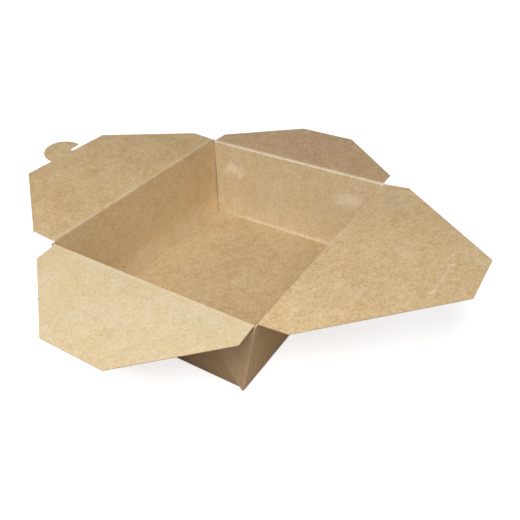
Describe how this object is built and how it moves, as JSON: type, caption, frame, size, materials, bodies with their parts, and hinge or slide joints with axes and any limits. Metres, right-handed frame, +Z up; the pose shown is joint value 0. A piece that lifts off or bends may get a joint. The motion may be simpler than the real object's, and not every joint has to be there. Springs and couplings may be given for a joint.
{
  "type": "takeaway box",
  "caption": "Folded board food box with sloping walls, double-folded corner webs and open hinged lid flaps that close with a tongue and slit.",
  "frame": {"origin": "centre of the underside of the base, which rests on the table", "axes": "+Z up out of the box's mouth, +Y towards the tongue flap, +X along the box's longer walls"},
  "size_m": [0.2937, 0.3118, 0.0642],
  "materials": {
    "board": "smooth uncoated brown board with fine fibres"
  },
  "bodies": {
    "tray": {"tray": "board"},
    "tongue_flap": {"tongue_flap": "board"},
    "slot_flap": {"slot_flap": "board"},
    "left_end_flap": {"left_end_flap": "board"},
    "right_end_flap": {"right_end_flap": "board"}
  },
  "joints": [
    {"name": "tongue_flap_crease", "type": "hinge", "parent": "tray", "child": "tongue_flap", "pos_m": [0, 0.06922, 0.0574], "axis": [1, 0, 0], "range_deg": [-41, 176]},
    {"name": "slot_flap_crease", "type": "hinge", "parent": "tray", "child": "slot_flap", "pos_m": [0, -0.06911, 0.0567], "axis": [-1, 0, 0], "range_deg": [-45, 175]},
    {"name": "left_end_flap_crease", "type": "hinge", "parent": "tray", "child": "left_end_flap", "pos_m": [-0.087, 0, 0.056], "axis": [0, 1, 0], "range_deg": [-54, 186]},
    {"name": "right_end_flap_crease", "type": "hinge", "parent": "tray", "child": "right_end_flap", "pos_m": [0.087, 0, 0.056], "axis": [0, -1, 0], "range_deg": [-59, 181]}
  ]
}
